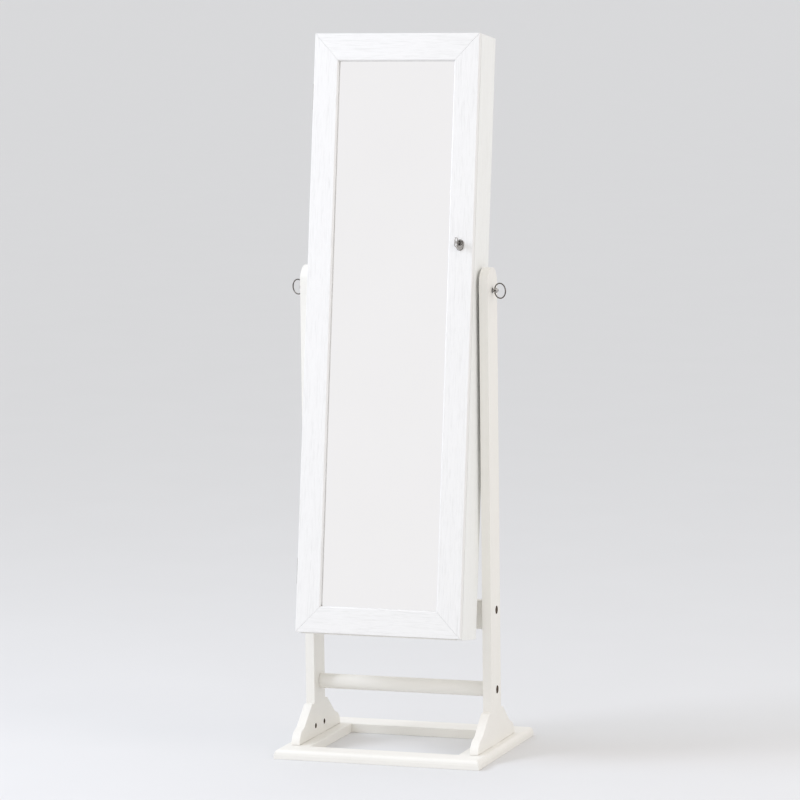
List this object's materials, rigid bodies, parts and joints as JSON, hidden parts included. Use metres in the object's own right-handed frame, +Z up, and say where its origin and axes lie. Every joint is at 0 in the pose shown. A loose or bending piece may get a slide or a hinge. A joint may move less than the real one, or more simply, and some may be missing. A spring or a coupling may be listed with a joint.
{
  "type": "jewelry armoire",
  "caption": "Mirrored jewelry armoire: a slim locking wall case that tilts between two posts on a moulded rectangular base.",
  "frame": {"origin": "middle of the footprint, on the floor", "axes": "+Z up, -Y towards the mirrored front, +X to the lock side"},
  "size_m": [0.4844, 0.386, 1.518],
  "materials": {
    "white_paint": "satin white lacquer on wood",
    "grained_paint": "white foil with embossed wood grain",
    "back_board": "matte white hardboard",
    "flocked_board": "board covered with short-pile flock",
    "velvet_cushion": "velvet over foam rolls",
    "mirror": "silvered float glass",
    "nickel_steel": "bright nickel plate",
    "bronze_steel": "dark bronze plate",
    "brass_insert": "turned brass",
    "nylon": "white nylon"
  },
  "bodies": {
    "stand": {"base_board_front": "white_paint", "base_board_back": "white_paint", "base_board_left": "white_paint", "base_board_right": "white_paint", "post_left": "white_paint", "post_right": "white_paint", "foot_front_left": "white_paint", "foot_back_left": "white_paint", "foot_front_right": "white_paint", "foot_back_right": "white_paint", "cross_rail_lower": "white_paint", "cross_rail_upper": "white_paint", "rail_bolt_lower_left": "bronze_steel", "rail_bolt_upper_left": "bronze_steel", "rail_bolt_lower_right": "bronze_steel", "rail_bolt_upper_right": "bronze_steel", "base_bolt_front_left": "nickel_steel", "base_bolt_back_left": "nickel_steel", "base_bolt_front_right": "nickel_steel", "base_bolt_back_right": "nickel_steel", "barrel_nut_front_left": "bronze_steel", "barrel_nut_back_left": "bronze_steel", "barrel_nut_front_right": "bronze_steel", "barrel_nut_back_right": "bronze_steel"},
    "cabinet": {"case_side_left": "white_paint", "case_side_right": "white_paint", "case_top": "white_paint", "case_bottom": "white_paint", "case_back": "back_board", "shelf_1": "flocked_board", "shelf_2": "flocked_board", "shelf_3": "flocked_board", "ring_cushion": "velvet_cushion", "earring_board": "flocked_board", "necklace_rail": "white_paint", "hinge_case_leaf_upper": "nickel_steel", "hinge_case_leaf_lower": "nickel_steel", "hinge_pin_upper": "nickel_steel", "hinge_pin_lower": "nickel_steel", "lock_strike": "nickel_steel", "pivot_insert_left": "brass_insert", "pivot_insert_right": "brass_insert", "pivot_spacer_left": "nylon", "pivot_spacer_right": "nylon"},
    "door": {"door_stile_left": "grained_paint", "door_stile_right": "grained_paint", "door_rail_top": "grained_paint", "door_rail_bottom": "grained_paint", "mirror_glass": "mirror", "door_lining": "flocked_board", "hinge_door_leaf_upper": "nickel_steel", "hinge_door_leaf_lower": "nickel_steel", "lock_housing": "nickel_steel"},
    "lock": {"lock_plug": "nickel_steel", "lock_cam": "nickel_steel", "key": "nickel_steel"},
    "left_knob": {"pivot_bolt_left": "nickel_steel"},
    "right_knob": {"pivot_bolt_right": "nickel_steel"},
    "left_ring": {"pull_ring_left": "nickel_steel"},
    "right_ring": {"pull_ring_right": "nickel_steel"}
  },
  "joints": [
    {"name": "case_tilt", "type": "hinge", "parent": "stand", "child": "cabinet", "pos_m": [0, -0.01, 0.9825], "axis": [1, 0, 0], "range_deg": [-16, 3]},
    {"name": "door_swing", "type": "hinge", "parent": "cabinet", "child": "door", "pos_m": [-0.185, -0.05605, 0.98897], "axis": [0, -0.1392, -0.9903], "range_deg": [0, 110]},
    {"name": "lock_turn", "type": "hinge", "parent": "door", "child": "lock", "pos_m": [0.154, -0.05831, 1.08421], "axis": [0, 0.9903, -0.1392], "range_deg": [0, 90]},
    {"name": "left_knob_turn", "type": "hinge", "parent": "cabinet", "child": "left_knob", "pos_m": [-0.2129, -0.01, 0.9825], "axis": [1, 0, 0], "continuous": true},
    {"name": "right_knob_turn", "type": "hinge", "parent": "cabinet", "child": "right_knob", "pos_m": [0.2129, -0.01, 0.9825], "axis": [1, 0, 0], "continuous": true},
    {"name": "left_ring_swing", "type": "hinge", "parent": "left_knob", "child": "left_ring", "pos_m": [-0.2129, -0.01, 0.9825], "axis": [0, 0, 1], "range_deg": [-59, 111]},
    {"name": "right_ring_swing", "type": "hinge", "parent": "right_knob", "child": "right_ring", "pos_m": [0.2129, -0.01, 0.9825], "axis": [0, 0, 1], "range_deg": [-59, 111]}
  ]
}
